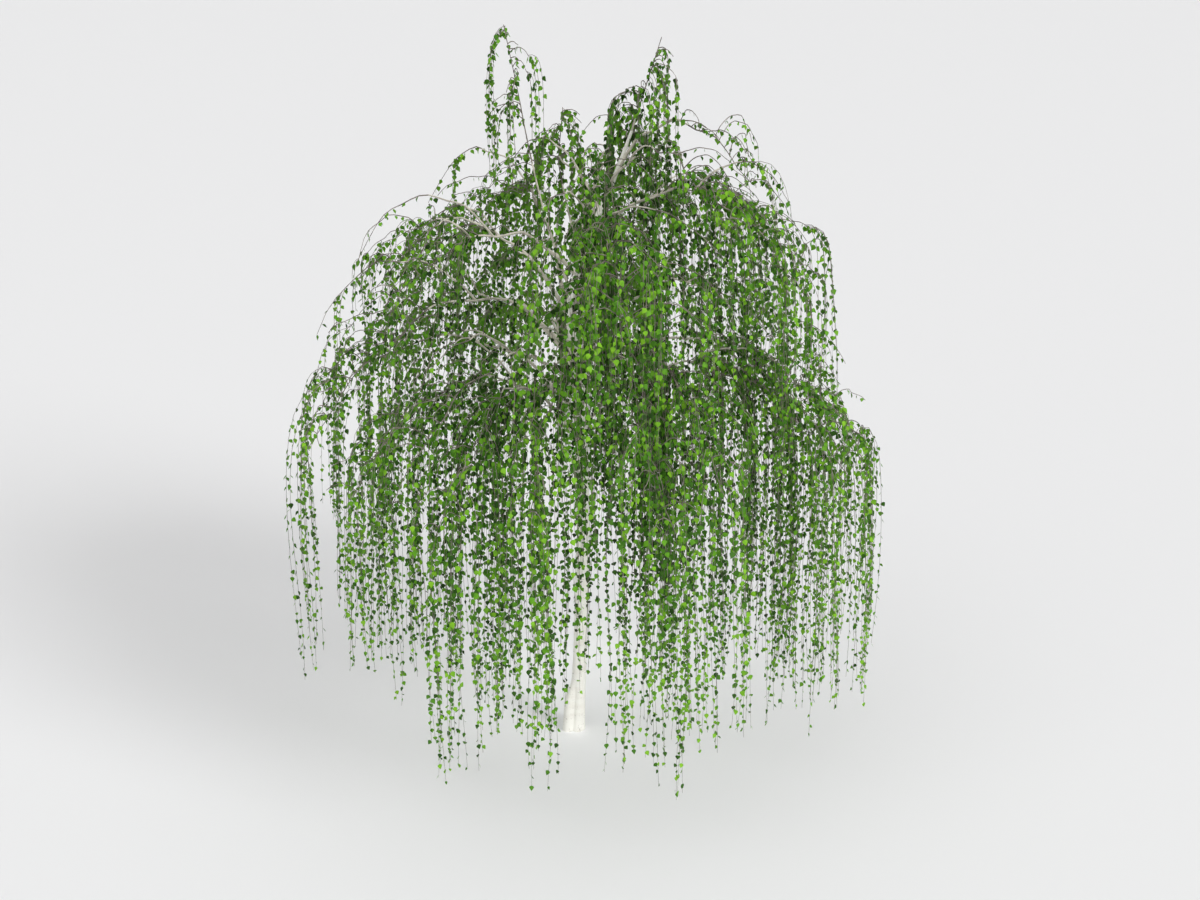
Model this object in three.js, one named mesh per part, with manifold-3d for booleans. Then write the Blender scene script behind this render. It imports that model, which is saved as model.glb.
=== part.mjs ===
// A weeping birch about six metres tall, rooted in level ground. Millimetres, +Z up, origin at the flat cut
// under the trunk. Azimuths are degrees from +X towards +Y.
//
// The trunk runs from the ground to the foot of its highest plume. Each bough is the bare, inner part of a limb
// that arches out from the trunk. A mass of foliage takes over at the bough's tip: its stem follows the same arch
// to the limb's end, side shoots leave the stem, and long shoots hang from both. Every leaf blade here stands for
// a spray of small leaves.
import * as THREE from "three";
import Module from "manifold-3d";

const wasm = await Module();
wasm.setup();

// ---- Trunk ----
const TRUNK_COURSE = [
  [0, 0, 0],
  [38, 8, 1000],
  [64, -8, 2300],
  [38, 0, 3200],
  [-22, 6, 3850],
  [95, 0, 4350],
  [300, -6, 4850],
  [450, 0, 5250],
];
const TRUNK_RADIUS = { low: 62, fork: 44, tip: 12 };
const FORK_HEIGHT = 3850;
const FLARE = { extra: 12, height: 200 };
const SIDE_ROOT = { azimuth: 196, width: 34, depth: 56, height: 400 };
const TRUNK_SIDES = 14;
const TRUNK_STEPS = 16;

// ---- Limbs ----
// heading: azimuth; root: height on the trunk; crest: height half-way along; reach: how far out; tip: height of
// its end; half: half of its sector in degrees; hem: height where its shoots end.
const LOW_LIMBS = [
  { heading: 354, root: 3100, crest: 3620, reach: 2340, tip: 2650, half: 17, hem: 700 },
  { heading: 333, root: 2820, crest: 3500, reach: 2300, tip: 2800, half: 9, hem: 380 },
  { heading: 301, root: 3300, crest: 3780, reach: 2220, tip: 2900, half: 7, hem: 500 },
  { heading: 287, root: 2980, crest: 3560, reach: 2200, tip: 2750, half: 9, hem: 340 },
  { heading: 262, root: 3200, crest: 3760, reach: 2180, tip: 2850, half: 7, hem: 540 },
  { heading: 244, root: 2780, crest: 3440, reach: 2200, tip: 2700, half: 7, hem: 440 },
  { heading: 233, root: 3040, crest: 3640, reach: 2200, tip: 2780, half: 8, hem: 780 },
  { heading: 220, root: 2660, crest: 3460, reach: 2260, tip: 2800, half: 8, hem: 620 },
  { heading: 203, root: 3400, crest: 4000, reach: 2240, tip: 3000, half: 12, hem: 900 },
  { heading: 174, root: 2900, crest: 3580, reach: 2240, tip: 2900, half: 16, hem: 850 },
  { heading: 142, root: 3240, crest: 3800, reach: 2260, tip: 2900, half: 17, hem: 850 },
  { heading: 107, root: 2840, crest: 3520, reach: 2240, tip: 2800, half: 19, hem: 850 },
  { heading: 69, root: 3160, crest: 3740, reach: 2260, tip: 2900, half: 19, hem: 850 },
  { heading: 31, root: 3420, crest: 3920, reach: 2320, tip: 2950, half: 18, hem: 800 },
];
const HIGH_LIMBS = [
  { heading: 334, root: 4090, crest: 4860, reach: 1960, tip: 4100, half: 24, hem: 2600 },
  { heading: 24, root: 3790, crest: 4720, reach: 1880, tip: 4100, half: 24, hem: 2900 },
  { heading: 72, root: 4020, crest: 4800, reach: 1780, tip: 4150, half: 26, hem: 2800 },
  { heading: 120, root: 3560, crest: 4660, reach: 1700, tip: 4050, half: 26, hem: 2600 },
  { heading: 168, root: 3720, crest: 4460, reach: 1640, tip: 3950, half: 22, hem: 2700 },
  { heading: 209, root: 4100, crest: 4520, reach: 1680, tip: 3950, half: 18, hem: 2850 },
  { heading: 284, root: 3640, crest: 4700, reach: 1800, tip: 4050, half: 24, hem: 2300 },
];
const CROWN_LIMBS = [
  { heading: 355, root: 4960, crest: 5320, reach: 1050, tip: 4840, half: 26, hem: 3000 },
  { heading: 64, root: 4360, crest: 5100, reach: 1000, tip: 4800, half: 32, hem: 3200 },
  { heading: 138, root: 4620, crest: 4980, reach: 900, tip: 4600, half: 32, hem: 3100 },
  { heading: 280, root: 4460, crest: 5060, reach: 900, tip: 4660, half: 24, hem: 2800 },
  { heading: 322, root: 4700, crest: 5160, reach: 1000, tip: 4760, half: 22, hem: 2800 },
];
// Upright limbs: each ends in a plume whose shoots fall all round it, within a column of the given spread.
const PLUMES = [
  { name: "left", root: 3940, foot: [-400, 0, 5420], top: [-520, 0, 6040], spread: 340, hem: 4200 },
  { name: "middle", root: 4250, foot: [-130, 380, 4960], top: [-90, 400, 5380], spread: 410, hem: 3300 },
];
const TRUNK_PLUME = { name: "right", top: [670, 0, 5950], spread: 460, hem: 3100 };

const OUT_EARLY = 0.42; // how soon a limb swings outwards: 0.5 is steadily
const SWAY = 0.022; // sideways wander of a limb, as a share of its reach
const BARE_SHARE = { low: 0.3, high: 0.3, crown: 0.4 }; // how much of a limb is bare bough
const BOUGH_RADIUS = { low: 19, high: 22, crown: 16, leader: 18 };
const BOUGH_TAPER = 0.5; // radius at a bough's tip over that at its root
const BOUGH_SIDES = 5;
const BOUGH_STEPS = 5;
const GAP = 0.3; // between a limb and what it grows from

// ---- Foliage ----
const STEM_STEPS = 4;
const STEM_END_RADIUS = 6;
const SIDE_SHOOTS = { low: 3, high: 3, crown: 3, plume: 5 };
const HANGING_SHOOTS = { low: 6, high: 6, crown: 5, plume: 8 };
const SHOOT_SHARES = [0, 0.1, 1]; // where a hanging shoot's points lie along its drop
const SHOOT_RADIUS = { side: 7, hanging: 3.4, end: 2.4 };
const SHOOT_DRIFT = 260; // how far a shoot swings out before it hangs
const HEM_SPREAD = { low: 900, high: 800, crown: 800, plume: 900 };
const BUNCH_RISE = 700; // shoots at the edge of a sector end this much higher than those in its middle
const INNER_HEM = { rise: 1600, radius: 1700 }; // shoots near the trunk end higher
const SPRAY = { slant: 30, shape: 0.5, thickness: 5 }; // shape: width over length
const SPRAY_LENGTH = { low: 410, high: 380, crown: 310, plume: 270 };
const SPRAY_SPACING = { low: 950, high: 635, crown: 475, plume: 360 };
const SECTOR_EDGE = 3; // degrees that a mass may reach past its sector
const CLEARANCE = 14; // kept from limbs and from other masses
const SPRAY_ROOM = 0.11; // a spray's own half thickness for keeping clear, over its length
const OWN_ROOM = 22; // between a spray and the rest of its mass
const TWIG_SIDES = 3;
const GOLDEN = (Math.sqrt(5) - 1) / 2;

const UP = new THREE.Vector3(0, 0, 1);
const rad = THREE.MathUtils.degToRad;

// ---- The seeded rule ----
// The same keys always give the same number from 0 to 1.
function chance(...keys) {
  let h = 2166136261;
  for (const key of keys) {
    h = Math.imul(h ^ key, 16777619);
    h ^= h >>> 15;
    h = Math.imul(h, 2246822519);
    h ^= h >>> 13;
  }
  return (h >>> 0) / 4294967296;
}

// Numbers from 0 to 1 that fill the range evenly, however many are taken.
function evenly(index, start) {
  return (start + index * GOLDEN) % 1;
}

// ---- Lines ----
const trunkCurve = new THREE.CatmullRomCurve3(
  TRUNK_COURSE.map((p) => new THREE.Vector3(...p)),
  false,
  "centripetal",
);

// The trunk's centre at a height, found by halving.
function trunkCentre(height) {
  let low = 0;
  let high = 1;
  for (let i = 0; i < 30; i++) {
    const middle = (low + high) / 2;
    if (trunkCurve.getPoint(middle).z < height) low = middle;
    else high = middle;
  }
  return trunkCurve.getPoint(low);
}

function trunkRadius(height) {
  const top = TRUNK_COURSE.at(-1)[2];
  if (height > FORK_HEIGHT) {
    return THREE.MathUtils.mapLinear(height, FORK_HEIGHT, top, TRUNK_RADIUS.fork, TRUNK_RADIUS.tip);
  }
  const shaft = THREE.MathUtils.mapLinear(height, 0, FORK_HEIGHT, TRUNK_RADIUS.low, TRUNK_RADIUS.fork);
  return shaft + FLARE.extra * Math.exp(-height / FLARE.height);
}

function bend(a, b, c, t) {
  return (1 - t) * (1 - t) * a + 2 * t * (1 - t) * b + t * t * c;
}

function polar(azimuth, radius) {
  return new THREE.Vector3(radius * Math.cos(rad(azimuth)), radius * Math.sin(rad(azimuth)), 0);
}

// The centre line of an arching limb, from the trunk's centre at t = 0 to the limb's end at t = 1.
function limbPoint(limb, t) {
  const out = bend(0, OUT_EARLY * limb.reach, limb.reach, t);
  const height = bend(limb.root, 2 * limb.crest - (limb.root + limb.tip) / 2, limb.tip, t);
  const wander = SWAY * limb.reach * t * Math.sin(5 * t + 6.28 * chance(limb.seed, 1));
  return trunkCentre(limb.root)
    .setZ(height)
    .add(polar(limb.heading, out))
    .add(polar(limb.heading + 90, wander));
}

// The centre line of an upright limb: it bows outwards from the trunk and straightens up to its plume's foot.
function leaderPoint(plume, t) {
  const root = trunkCentre(plume.root);
  const [x, y, z] = plume.foot;
  const knee = 0.62;
  return new THREE.Vector3(
    bend(root.x, root.x + knee * (x - root.x), x, t),
    bend(root.y, root.y + knee * (y - root.y), y, t),
    bend(root.z, root.z + 0.4 * (z - root.z), z, t),
  );
}

// ---- Solids ----
function solidFrom(vertices, faces) {
  const mesh = new wasm.Mesh({
    numProp: 3,
    vertProperties: new Float32Array(vertices.flatMap((v) => [v.x, v.y, v.z])),
    triVerts: new Uint32Array(faces.flat()),
  });
  return new wasm.Manifold(mesh);
}

// A closed tube through the points, with a radius for each point and flat ends. Each ring has a corner on the
// side that "corner" points to. bulge adds to the radius by azimuth, and a level tube stands on a level ring.
function tube(points, radii, sides, corner, { bulge = () => 0, level = false } = {}) {
  const vertices = [];
  const faces = [];
  points.forEach((point, i) => {
    const before = points[Math.max(i - 1, 0)];
    const after = points[Math.min(i + 1, points.length - 1)];
    const along = level && i === 0 ? UP : after.clone().sub(before).normalize();
    const normal = corner.clone().addScaledVector(along, -corner.dot(along)).normalize();
    const across = along.clone().cross(normal);
    for (let k = 0; k < sides; k++) {
      const turn = (2 * Math.PI * k) / sides;
      const radius = radii[i] + bulge(turn, point.z);
      vertices.push(
        point
          .clone()
          .addScaledVector(normal, radius * Math.cos(turn))
          .addScaledVector(across, radius * Math.sin(turn)),
      );
    }
  });
  const last = (points.length - 1) * sides;
  for (let base = 0; base < last; base += sides) {
    for (let k = 0; k < sides; k++) {
      const next = (k + 1) % sides;
      faces.push([base + k, base + next, base + sides + next]);
      faces.push([base + k, base + sides + next, base + sides + k]);
    }
  }
  for (let k = 1; k < sides - 1; k++) {
    faces.push([0, k + 1, k]);
    faces.push([last, last + k, last + k + 1]);
  }
  return solidFrom(vertices, faces);
}

// The side root: a round swelling up one side of the trunk's foot.
function sideRoot(turn, height) {
  const off = ((THREE.MathUtils.radToDeg(turn) - SIDE_ROOT.azimuth + 540) % 360) - 180;
  const fade = 1 / (1 + Math.exp((height - SIDE_ROOT.height) / 35));
  return SIDE_ROOT.depth * Math.exp(-Math.pow(off / SIDE_ROOT.width, 4)) * fade;
}

// The trunk. With a margin it is grown all over, for cutting its neighbours clear of it.
function trunkSolid(margin) {
  const points = [];
  const radii = [];
  for (let i = 0; i <= TRUNK_STEPS; i++) {
    const point = trunkCurve.getPointAt(Math.pow(i / TRUNK_STEPS, 1.35));
    points.push(point);
    radii.push(trunkRadius(point.z) + margin);
  }
  lengthen(points, margin);
  return tube(points, radii, TRUNK_SIDES, polar(0, 1), { bulge: sideRoot, level: true });
}

// Moves the last point onwards.
function lengthen(points, distance) {
  const end = points.at(-1);
  end.add(end.clone().sub(points.at(-2)).normalize().multiplyScalar(distance));
}

function sampled(line, from, to, steps) {
  return Array.from({ length: steps + 1 }, (_, i) => line(from + ((to - from) * i) / steps));
}

// The point at share t of a polyline's length.
function pointAlong(points, t) {
  const lengths = points.slice(1).map((p, i) => p.distanceTo(points[i]));
  let left = t * lengths.reduce((sum, length) => sum + length, 0);
  let i = 0;
  while (i < lengths.length - 1 && left > lengths[i]) left -= lengths[i++];
  return points[i].clone().lerp(points[i + 1], Math.min(left / lengths[i], 1));
}

function tapered(from, to, count) {
  return Array.from({ length: count }, (_, i) => from + ((to - from) * i) / (count - 1));
}

// A flat blade of eight faces, from its root to its tip.
function blade({ root, tip, left, right }) {
  const middle = left.clone().lerp(right, 0.5);
  const normal = tip.clone().sub(root).cross(left.clone().sub(right)).setLength(SPRAY.thickness / 2);
  const front = middle.clone().add(normal);
  const back = middle.clone().sub(normal);
  const faces = [];
  for (const [side, first, second] of [[4, 2, 3], [5, 3, 2]]) {
    faces.push([0, side, first], [first, side, 1], [1, side, second], [second, side, 0]);
  }
  const solid = solidFrom([root, tip, left, right, front, back], faces);
  return solid.volume() > 0 ? solid : solidFrom([root, tip, left, right, front, back], faces.map((f) => f.reverse()));
}

// ---- What is already held by limbs and masses ----
const held = []; // { owner, shoot, a, b, radius }

function hold(owner, shoot, points, radius) {
  for (let i = 1; i < points.length; i++) held.push({ owner, shoot, a: points[i - 1], b: points[i], radius });
}

// The distance between two short straight stretches.
function stretchDistance(a, b, c, d) {
  const u = b.clone().sub(a);
  const v = d.clone().sub(c);
  const w = a.clone().sub(c);
  const uu = u.dot(u);
  const uv = u.dot(v);
  const vv = v.dot(v);
  const flat = uu * vv - uv * uv;
  let s = flat > 1e-9 ? THREE.MathUtils.clamp((uv * v.dot(w) - vv * u.dot(w)) / flat, 0, 1) : 0;
  const t = THREE.MathUtils.clamp((uv * s + v.dot(w)) / vv, 0, 1);
  s = THREE.MathUtils.clamp((uv * t - u.dot(w)) / uu, 0, 1);
  return a.clone().addScaledVector(u, s).distanceTo(c.clone().addScaledVector(v, t));
}

// Whether points are clear of all that others hold. Shoots of one mass may cross; its sprays may only touch the
// shoot they hang from.
function isClear(owner, shoot, points, radius, isSpray) {
  for (const other of held) {
    const own = other.owner === owner;
    if (own && (!isSpray || other.shoot === shoot)) continue;
    const room = other.radius + (own ? OWN_ROOM : radius + CLEARANCE);
    for (let i = 1; i < points.length; i++) {
      if (stretchDistance(points[i - 1], points[i], other.a, other.b) < room) return false;
    }
  }
  return true;
}

// ---- Masses of foliage ----
// How far out a point is from the trunk, and how many degrees off its mass's heading.
function placeInSector(mass, point) {
  const root = trunkCentre(mass.root);
  const azimuth = THREE.MathUtils.radToDeg(Math.atan2(point.y - root.y, point.x - root.x));
  const off = Math.abs(((azimuth - mass.heading + 540) % 360) - 180);
  return { out: Math.hypot(point.x - root.x, point.y - root.y), off };
}

// Whether a point is in a mass's own space: a sector round the trunk, or a column round a plume's axis.
function inSpace(mass, point) {
  if (point.z < mass.hem - 40 || point.z < 20) return false;
  if (mass.column) return Math.hypot(point.x - mass.column.x, point.y - mass.column.y) < mass.spread;
  const { out, off } = placeInSector(mass, point);
  return off < mass.half + SECTOR_EDGE && out < mass.reach + 280;
}

// Whether a shoot or spray stays in its mass's space and clear of what is held. One that fits is held at once.
function fits(mass, shoot, points, radius, isSpray = false) {
  if (!points.slice(1).every((p) => inSpace(mass, p))) return false;
  if (!isClear(mass.name, shoot, points, radius, isSpray)) return false;
  hold(mass.name, shoot, points, radius);
  return true;
}

// A spray is taken as a cross of two stretches, thick enough to cover the blade between them.
function sprayFits(mass, twig, { root, tip, left, right }, radius) {
  const crossing = [left, right];
  if (!inSpace(mass, left) || !inSpace(mass, right)) return false;
  if (!isClear(mass.name, twig, crossing, radius, true) || !fits(mass, twig, [root, tip], radius, true)) return false;
  hold(mass.name, twig, crossing, radius);
  return true;
}

// Side shoot k of a mass: it leaves the stem on alternate sides and arches over.
function sideShoot(mass, k) {
  const u = 0.1 + 0.85 * Math.sqrt(evenly(k, chance(mass.seed, 2)));
  const start = pointAlong(mass.stemPoints, u);
  const side = k % 2 ? 1 : -1;
  const swing = 0.35 + 0.55 * chance(mass.seed, 3, k);
  let end;
  if (mass.column) {
    const azimuth = 360 * evenly(k, chance(mass.seed, 4));
    const length = mass.spread * (0.45 + 0.4 * chance(mass.seed, 5, k)) * (1.15 - 0.55 * u);
    end = start.clone().add(polar(azimuth, length));
  } else {
    const root = trunkCentre(mass.root);
    const out = Math.hypot(start.x - root.x, start.y - root.y);
    const further = Math.min(out + 120 + 260 * chance(mass.seed, 5, k), mass.reach + 60);
    end = root.clone().setZ(start.z).add(polar(mass.heading + side * swing * mass.half, further));
  }
  const length = end.distanceTo(start);
  const top = start.clone().lerp(end, 0.5).addScaledVector(UP, 0.22 * length);
  end.z -= 0.25 * length;
  return [start, start.clone().lerp(top, 0.5).lerp(top.clone().lerp(end, 0.5), 0.5), end];
}

// The height at which hanging shoot j ends. A mass on a limb hangs lowest in the middle of its sector.
function shootEnd(mass, j, start) {
  const { out, off } = placeInSector(mass, start);
  const inner = mass.tier === "low" ? INNER_HEM.rise * Math.max(0, 1 - out / INNER_HEM.radius) : 0;
  const edge = mass.column ? 0 : BUNCH_RISE * Math.min(1.5, off / mass.half) ** 2;
  return mass.hem + inner + edge + HEM_SPREAD[mass.tier] * Math.pow(chance(mass.seed, 6, j), 1.6);
}

// Hanging shoot j of a mass: it leaves one of its hosts, swings out a little and hangs.
function hangingShoot(mass, j, hosts) {
  const u = j ? 0.25 + 0.75 * evenly(j, chance(mass.seed, 7)) : 1;
  const start = pointAlong(hosts[j % hosts.length], u);
  const drop = start.z - shootEnd(mass, j, start);
  if (drop < 150) return null;
  const away = polar(360 * chance(mass.seed, 8, j), 0.5).add(mass.outward(start));
  away.multiplyScalar(SHOOT_DRIFT * (0.4 + 0.6 * chance(mass.seed, 9, j)));
  return SHOOT_SHARES.map((t) => {
    const swing = 1 - Math.exp((-drop * t) / 170);
    return start.clone().addScaledVector(away, swing).addScaledVector(UP, -drop * t);
  });
}

// Hangs sprays along a twig, each from the middle of one of its faces. Those that don't fit are left out.
function addSprays(mass, parts, twig, points, faceAzimuth) {
  const length = points.slice(1).reduce((sum, p, i) => sum + p.distanceTo(points[i]), 0);
  const count = Math.max(1, Math.round(length / SPRAY_SPACING[mass.tier]));
  for (let n = 0; n < count; n++) {
    const root = pointAlong(points, (n + 0.35 + 0.4 * chance(mass.seed, 11, twig, n)) / count);
    const azimuth = faceAzimuth(Math.floor(3 * chance(mass.seed, 12, twig, n)), n);
    const size = SPRAY_LENGTH[mass.tier] * (0.85 + 0.3 * chance(mass.seed, 14, twig, n));
    const along = polar(azimuth, Math.tan(rad(SPRAY.slant))).sub(UP).setLength(size);
    const turn = 1.6 * (chance(mass.seed, 13, twig, n) - 0.5);
    const across = polar(azimuth + 90, 0.5 * SPRAY.shape * size).applyAxisAngle(along.clone().normalize(), turn);
    const middle = root.clone().addScaledVector(along, 0.5);
    const spray = { root, tip: root.clone().add(along), left: middle.clone().add(across), right: middle.sub(across) };
    if (sprayFits(mass, twig, spray, size * SPRAY_ROOM)) parts.push(blade(spray));
  }
}

function foliage(mass) {
  const radii = tapered(mass.stemRadius, STEM_END_RADIUS, STEM_STEPS + 1);
  const parts = [tube(mass.stemPoints, radii, TWIG_SIDES, mass.corner)];
  hold(mass.name, 0, mass.stemPoints, mass.stemRadius);

  const hosts = [mass.stemPoints];
  for (let k = 1; k <= SIDE_SHOOTS[mass.tier]; k++) {
    const points = sideShoot(mass, k);
    if (!fits(mass, k, points, SHOOT_RADIUS.side)) continue;
    hosts.push(points);
    parts.push(tube(points, points.map(() => SHOOT_RADIUS.side), TWIG_SIDES, UP));
  }

  const shoots = [];
  for (let j = 0; j < HANGING_SHOOTS[mass.tier]; j++) {
    const points = hangingShoot(mass, j, hosts);
    const twig = 10 + j;
    if (!points || !fits(mass, twig, points, SHOOT_RADIUS.hanging)) continue;
    const spin = 360 * chance(mass.seed, 10, j);
    const radii = tapered(SHOOT_RADIUS.hanging, SHOOT_RADIUS.end, points.length);
    parts.push(tube(points, radii, TWIG_SIDES, polar(spin, 1)));
    shoots.push({ twig, points, spin });
  }

  hosts.forEach((points, k) => addSprays(mass, parts, k, points, (face, n) => 137.5 * (n + k)));
  for (const { twig, points, spin } of shoots) {
    addSprays(mass, parts, twig, points, (face) => spin + 60 + 120 * face);
  }
  return largest(wasm.Manifold.union(parts).subtract(mass.host));
}

// ---- Assembly ----
const tree = new THREE.Group();
const bark = new THREE.MeshStandardMaterial({ color: 0xecebe3, roughness: 0.75, metalness: 0 });
const boughBark = new THREE.MeshStandardMaterial({ color: 0xa39a8b, roughness: 0.85, metalness: 0 });
const leaves = new THREE.MeshStandardMaterial({ color: 0x4f7f24, roughness: 0.55, metalness: 0 });

function addNode(name, solid, material) {
  const made = solid.getMesh();
  const geometry = new THREE.BufferGeometry();
  geometry.setAttribute("position", new THREE.BufferAttribute(made.vertProperties, 3));
  geometry.setIndex(new THREE.BufferAttribute(made.triVerts, 1));
  geometry.computeVertexNormals();
  const mesh = new THREE.Mesh(geometry, material);
  mesh.name = name;
  tree.add(mesh);
}

// The largest body of a solid, without the scraps that a cut leaves.
function largest(solid) {
  return solid.decompose().sort((a, b) => b.volume() - a.volume())[0];
}

const trunkGrown = trunkSolid(GAP / Math.cos(Math.PI / TRUNK_SIDES));

// Adds a bough that leaves the trunk, and gives a grown copy of it for cutting its mass clear of its tip.
function addBough(name, line, share, radius) {
  const points = sampled(line, 0, share, BOUGH_STEPS);
  const radii = tapered(radius, radius * BOUGH_TAPER, BOUGH_STEPS + 1);
  const steep = Math.abs(points[1].z - points[0].z) > 0.8 * points[1].distanceTo(points[0]);
  const corner = steep ? polar(0, 1) : UP;
  addNode(name, largest(tube(points, radii, BOUGH_SIDES, corner).subtract(trunkGrown)), boughBark);
  hold(name, "bough", points, radius);
  lengthen(points, GAP);
  return tube(points, radii.map((r) => r + 2 * GAP), BOUGH_SIDES, corner);
}

const masses = [];

function addArchingLimbs(limbs, tier) {
  limbs.forEach((row, i) => {
    const limb = { ...row, seed: masses.length + 1 };
    const label = `${tier}_${String(i + 1).padStart(2, "0")}`;
    const line = (t) => limbPoint(limb, t);
    const share = BARE_SHARE[tier];
    const host = addBough(`bough_${label}`, line, share, BOUGH_RADIUS[tier]);
    const axis = trunkCentre(limb.root);
    masses.push({
      ...limb,
      tier,
      name: `curtain_${label}`,
      host,
      stemPoints: sampled(line, share, 1, STEM_STEPS),
      stemRadius: BOUGH_RADIUS[tier] * BOUGH_TAPER * 0.8,
      corner: UP,
      outward: (p) => p.clone().sub(axis).setZ(0).normalize(),
    });
  });
}

function addPlume(plume, host, foot, from) {
  const top = new THREE.Vector3(...plume.top);
  masses.push({
    ...plume,
    tier: "plume",
    seed: masses.length + 1,
    root: from,
    name: `plume_${plume.name}`,
    column: top.clone().lerp(foot, 0.35),
    host,
    stemPoints: sampled((t) => foot.clone().lerp(top, t), 0, 1, STEM_STEPS),
    stemRadius: 10,
    corner: polar(0, 1),
    outward: (p) => p.clone().sub(foot).setZ(0).setLength(p.distanceTo(foot) > 1 ? 1 : 0),
  });
}

addNode("trunk", trunkSolid(0), bark);
const trunkPoints = trunkCurve.getPoints(TRUNK_STEPS);
trunkPoints.slice(1).forEach((p, i) => hold("trunk", "trunk", [trunkPoints[i], p], trunkRadius(trunkPoints[i].z)));
addArchingLimbs(LOW_LIMBS, "low");
addArchingLimbs(HIGH_LIMBS, "high");
addArchingLimbs(CROWN_LIMBS, "crown");
for (const plume of PLUMES) {
  const radius = plume.name === "left" ? BOUGH_RADIUS.leader : BOUGH_RADIUS.crown;
  const host = addBough(`leader_${plume.name}`, (t) => leaderPoint(plume, t), 1, radius);
  addPlume(plume, host, new THREE.Vector3(...plume.foot), plume.root);
}
addPlume(TRUNK_PLUME, trunkGrown, trunkCurve.getPoint(1), TRUNK_COURSE.at(-1)[2]);
for (const mass of masses) addNode(mass.name, foliage(mass), leaves);

export default tree;
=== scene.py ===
# A weeping birch about six metres tall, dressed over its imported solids. Metres, +Z up, in the
# solids' own frame.
#
# The trunk and limbs follow the same lines as the solids. The same seeded rule then grows many more
# side shoots and hanging shoots from each limb. Single leaves stand on the shoots, each turned round
# its shoot from the one before.
import math

import bpy
import numpy as np
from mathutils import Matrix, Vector, noise


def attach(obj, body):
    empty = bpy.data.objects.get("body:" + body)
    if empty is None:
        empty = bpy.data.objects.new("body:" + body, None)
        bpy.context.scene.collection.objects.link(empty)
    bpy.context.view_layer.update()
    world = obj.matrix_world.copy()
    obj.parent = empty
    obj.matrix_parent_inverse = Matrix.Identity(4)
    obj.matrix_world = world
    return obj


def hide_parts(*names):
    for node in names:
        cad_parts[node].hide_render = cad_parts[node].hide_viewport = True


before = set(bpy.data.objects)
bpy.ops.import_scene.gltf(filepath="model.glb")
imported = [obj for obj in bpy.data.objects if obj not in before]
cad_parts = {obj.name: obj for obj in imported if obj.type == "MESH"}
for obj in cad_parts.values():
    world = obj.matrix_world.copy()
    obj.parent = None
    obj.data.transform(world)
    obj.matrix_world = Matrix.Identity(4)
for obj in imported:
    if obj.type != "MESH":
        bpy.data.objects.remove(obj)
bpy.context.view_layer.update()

# ---- Trunk ----
TRUNK_COURSE = [
    (0, 0, 0),
    (0.038, 0.008, 1.0),
    (0.064, -0.008, 2.3),
    (0.038, 0, 3.2),
    (-0.022, 0.006, 3.85),
    (0.095, 0, 4.35),
    (0.3, -0.006, 4.85),
    (0.45, 0, 5.25),
]
TRUNK_RADIUS = {"low": 0.062, "fork": 0.044, "tip": 0.012}
FORK_HEIGHT = 3.85
FLARE = {"extra": 0.012, "height": 0.2}
SIDE_ROOT = {"azimuth": 196, "width": 34, "depth": 0.056, "height": 0.4, "fade": 0.035}
ROOT_GROOVE = {"off": 46, "width": 9, "depth": 0.008}
BARK_RELIEF = {"broad": 0.0022, "fine": 0.0009}
TRUNK_SIDES = 64
TRUNK_RINGS = 260

# ---- Limbs ----
# Headings and half sectors are in degrees. root, crest, tip and hem are heights: where a limb leaves the
# trunk, half-way along it, its end, and the lowest that its shoots hang. shoots is how many are tried.
LIMB_KEYS = ("heading", "root", "crest", "reach", "tip", "half", "hem", "shoots")
LOW_LIMBS = [
    (354, 3.10, 3.62, 2.34, 2.65, 17, 0.30, 84),
    (333, 2.82, 3.50, 2.30, 2.80, 9, 0.14, 262),
    (301, 3.30, 3.78, 2.22, 2.90, 7, 0.40, 160),
    (287, 2.98, 3.56, 2.20, 2.75, 9, 0.14, 140),
    (262, 3.20, 3.76, 2.18, 2.85, 7, 0.36, 100),
    (244, 2.78, 3.44, 2.20, 2.70, 7, 0.18, 165),
    (233, 3.04, 3.64, 2.20, 2.78, 8, 0.74, 62),
    (220, 2.66, 3.46, 2.26, 2.80, 8, 0.46, 130),
    (203, 3.40, 4.00, 2.24, 3.00, 12, 0.66, 72),
    (174, 2.90, 3.58, 2.24, 2.90, 16, 0.80, 95),
    (142, 3.24, 3.80, 2.26, 2.90, 17, 0.80, 130),
    (107, 2.84, 3.52, 2.24, 2.80, 19, 0.80, 150),
    (69, 3.16, 3.74, 2.26, 2.90, 19, 0.80, 150),
    (31, 3.42, 3.92, 2.32, 2.95, 18, 0.50, 100),
]
HIGH_LIMBS = [
    (334, 4.09, 4.86, 1.96, 4.10, 24, 2.30, 250),
    (24, 3.79, 4.72, 1.88, 4.10, 24, 2.80, 66),
    (72, 4.02, 4.80, 1.78, 4.15, 26, 2.80, 135),
    (120, 3.56, 4.66, 1.70, 4.05, 26, 2.60, 175),
    (168, 3.72, 4.46, 1.64, 3.95, 22, 2.70, 150),
    (209, 4.10, 4.52, 1.68, 3.95, 18, 2.80, 115),
    (284, 3.64, 4.70, 1.80, 4.05, 24, 1.90, 280),
]
CROWN_LIMBS = [
    (355, 4.96, 5.32, 1.05, 4.84, 26, 3.00, 10),
    (64, 4.36, 5.10, 1.00, 4.80, 32, 3.20, 36),
    (138, 4.62, 4.98, 0.90, 4.60, 32, 3.10, 45),
    (280, 4.46, 5.06, 0.90, 4.66, 24, 2.80, 80),
    (322, 4.70, 5.16, 1.00, 4.76, 22, 2.80, 48),
]
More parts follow.
